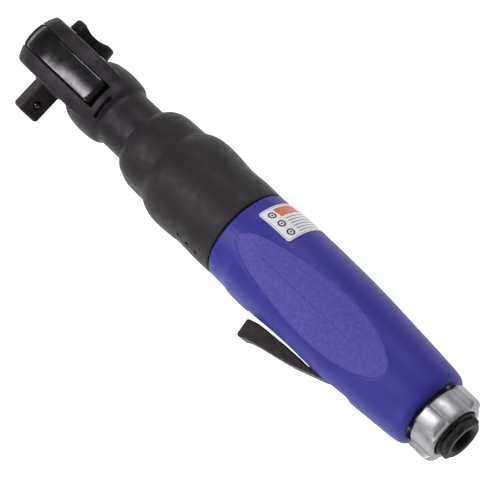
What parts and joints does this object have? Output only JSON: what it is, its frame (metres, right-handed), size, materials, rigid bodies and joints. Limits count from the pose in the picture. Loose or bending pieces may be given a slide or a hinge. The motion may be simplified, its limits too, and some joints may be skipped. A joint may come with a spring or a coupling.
{
  "type": "air ratchet wrench",
  "caption": "Air-powered ratchet wrench with a square drive, reversing knob, sprung throttle lever, turning exhaust ring and threaded air inlet.",
  "frame": {"origin": "centre of the square drive's end face", "axes": "+X along the tool from the head to the air inlet, +Y from the drive through the head to the reversing knob, +Z out of the side that faces up when the tool lies on its side"},
  "size_m": [0.329, 0.0679, 0.0562],
  "materials": {
    "blackened_steel": "blackened forged steel, satin",
    "bright_steel": "ground steel",
    "drive_steel": "dark phosphated steel, satin",
    "knob_black": "black oxide, coarse satin",
    "motor_aluminium": "machined",
    "cover_rubber": "black moulded rubber, semi-matt",
    "grip_blue": "blue moulded grip, satin",
    "lever_steel": "dark formed steel, semi-matt",
    "ring_chrome": "satin plated",
    "inlet_black": "black plated steel",
    "vane_resin": "phenolic laminate",
    "felt": "pressed felt",
    "seal_rubber": "black nitrile",
    "bronze": "sintered bronze",
    "label_white": "printed film"
  },
  "bodies": {
    "body": {"anvil_retaining_ring": "blackened_steel", "clamp_nut": "motor_aluminium", "crank_bearing_front": "bright_steel", "crank_bearing_rear": "bright_steel", "cylinder_dowel": "bright_steel", "exhaust_muffler": "felt", "front_cover": "cover_rubber", "front_end_plate": "motor_aluminium", "front_rotor_bearing": "bright_steel", "handle_sleeve": "grip_blue", "inlet_bushing": "inlet_black", "inlet_o_ring": "seal_rubber", "inlet_screen": "bronze", "lever_pin": "bright_steel", "motor_cylinder": "motor_aluminium", "motor_housing": "motor_aluminium", "ratchet_head": "blackened_steel", "rating_label": "label_white", "rear_end_plate": "motor_aluminium", "rear_rotor_bearing": "bright_steel", "ring_gear": "bright_steel", "spring_retainer": "bright_steel", "valve_seat": "seal_rubber", "valve_spring": "bright_steel", "valve_stem_bushing": "bronze"},
    "anvil": {"square_drive_anvil": "drive_steel", "pawl_pin": "bright_steel", "detent_spring": "bright_steel", "anvil_thrust_washer": "bright_steel"},
    "reverse_knob": {"reverse_knob": "knob_black", "pawl_plunger": "bright_steel", "plunger_spring": "bright_steel"},
    "pawl": {"pawl": "bright_steel"},
    "detent_ball": {"detent_ball": "bright_steel"},
    "ratchet_yoke": {"ratchet_yoke": "bright_steel"},
    "crank": {"crankshaft": "bright_steel", "planet_pin_1": "bright_steel", "planet_pin_2": "bright_steel", "planet_pin_3": "bright_steel", "drive_bushing": "bronze"},
    "planet_gear_1": {"planet_gear_1": "bright_steel"},
    "planet_gear_2": {"planet_gear_2": "bright_steel"},
    "planet_gear_3": {"planet_gear_3": "bright_steel"},
    "rotor": {"rotor": "bright_steel", "rotor_vane_1": "vane_resin", "rotor_vane_2": "vane_resin", "rotor_vane_3": "vane_resin", "rotor_vane_4": "vane_resin", "rotor_vane_5": "vane_resin"},
    "throttle_lever": {"throttle_lever": "lever_steel"},
    "valve_stem": {"valve_stem": "bright_steel"},
    "throttle_ball": {"throttle_ball": "bright_steel"},
    "exhaust_ring": {"exhaust_ring": "ring_chrome"}
  },
  "joints": [
    {"name": "anvil_spin", "type": "hinge", "parent": "body", "child": "anvil", "pos_m": [0, 0.0342, 0], "axis": [0, 1, 0], "continuous": true},
    {"name": "reverse_knob_turn", "type": "hinge", "parent": "anvil", "child": "reverse_knob", "pos_m": [0, 0.0342, 0], "axis": [0, -1, 0], "range_deg": [0, 64]},
    {"name": "pawl_rock", "type": "hinge", "parent": "anvil", "child": "pawl", "pos_m": [-0.0102, 0.0342, 0], "axis": [0, 1, 0], "range_deg": [0, 8]},
    {"name": "detent_ball_press", "type": "slide", "parent": "anvil", "child": "detent_ball", "axis": [-0.788, 0, -0.6157], "range_m": [0, 0.0009], "stiffness_N_per_m": 900, "springref_m": -0.001},
    {"name": "yoke_swing", "type": "hinge", "parent": "body", "child": "ratchet_yoke", "pos_m": [0, 0.0342, 0], "axis": [0, 1, 0], "range_deg": [-3, 3]},
    {"name": "crank_spin", "type": "hinge", "parent": "body", "child": "crank", "pos_m": [0.06, 0.0342, 0], "axis": [1, 0, 0], "continuous": true},
    {"name": "rotor_spin", "type": "hinge", "parent": "body", "child": "rotor", "pos_m": [0.122, 0.0342, 0], "axis": [1, 0, 0], "continuous": true},
    {"name": "planet_gear_1_spin", "type": "hinge", "parent": "crank", "child": "planet_gear_1", "pos_m": [0.08, 0.0432, 0], "axis": [1, 0, 0], "continuous": true},
    {"name": "planet_gear_2_spin", "type": "hinge", "parent": "crank", "child": "planet_gear_2", "pos_m": [0.08, 0.0297, 0.00779], "axis": [1, 0, 0], "continuous": true},
    {"name": "planet_gear_3_spin", "type": "hinge", "parent": "crank", "child": "planet_gear_3", "pos_m": [0.08, 0.0297, -0.00779], "axis": [1, 0, 0], "continuous": true},
    {"name": "throttle_lever_press", "type": "hinge", "parent": "body", "child": "throttle_lever", "pos_m": [0.238, 0.0156, 0], "axis": [0, 0, -1], "range_deg": [0, 5], "stiffness_Nm_per_rad": 3, "springref_deg": -3.44},
    {"name": "valve_stem_slide", "type": "slide", "parent": "body", "child": "valve_stem", "axis": [0, 1, 0], "range_m": [0, 0.0018]},
    {"name": "throttle_ball_lift", "type": "slide", "parent": "body", "child": "throttle_ball", "axis": [0.4472, 0.8944, 0], "range_m": [0, 0.0018]},
    {"name": "exhaust_ring_turn", "type": "hinge", "parent": "body", "child": "exhaust_ring", "pos_m": [0.29, 0.0342, 0], "axis": [1, 0, 0], "continuous": true}
  ],
  "couplings": [
    {"joint": "pawl_rock", "follows": "reverse_knob_turn", "ratio": 0.125},
    {"joint": "rotor_spin", "follows": "crank_spin", "ratio": 5.3333},
    {"joint": "planet_gear_1_spin", "follows": "crank_spin", "ratio": -2.6},
    {"joint": "planet_gear_2_spin", "follows": "crank_spin", "ratio": -2.6},
    {"joint": "planet_gear_3_spin", "follows": "crank_spin", "ratio": -2.6},
    {"joint": "valve_stem_slide", "follows": "throttle_lever_press", "m_per_rad": 0.019},
    {"joint": "throttle_ball_lift", "follows": "throttle_lever_press", "m_per_rad": 0.0175}
  ]
}
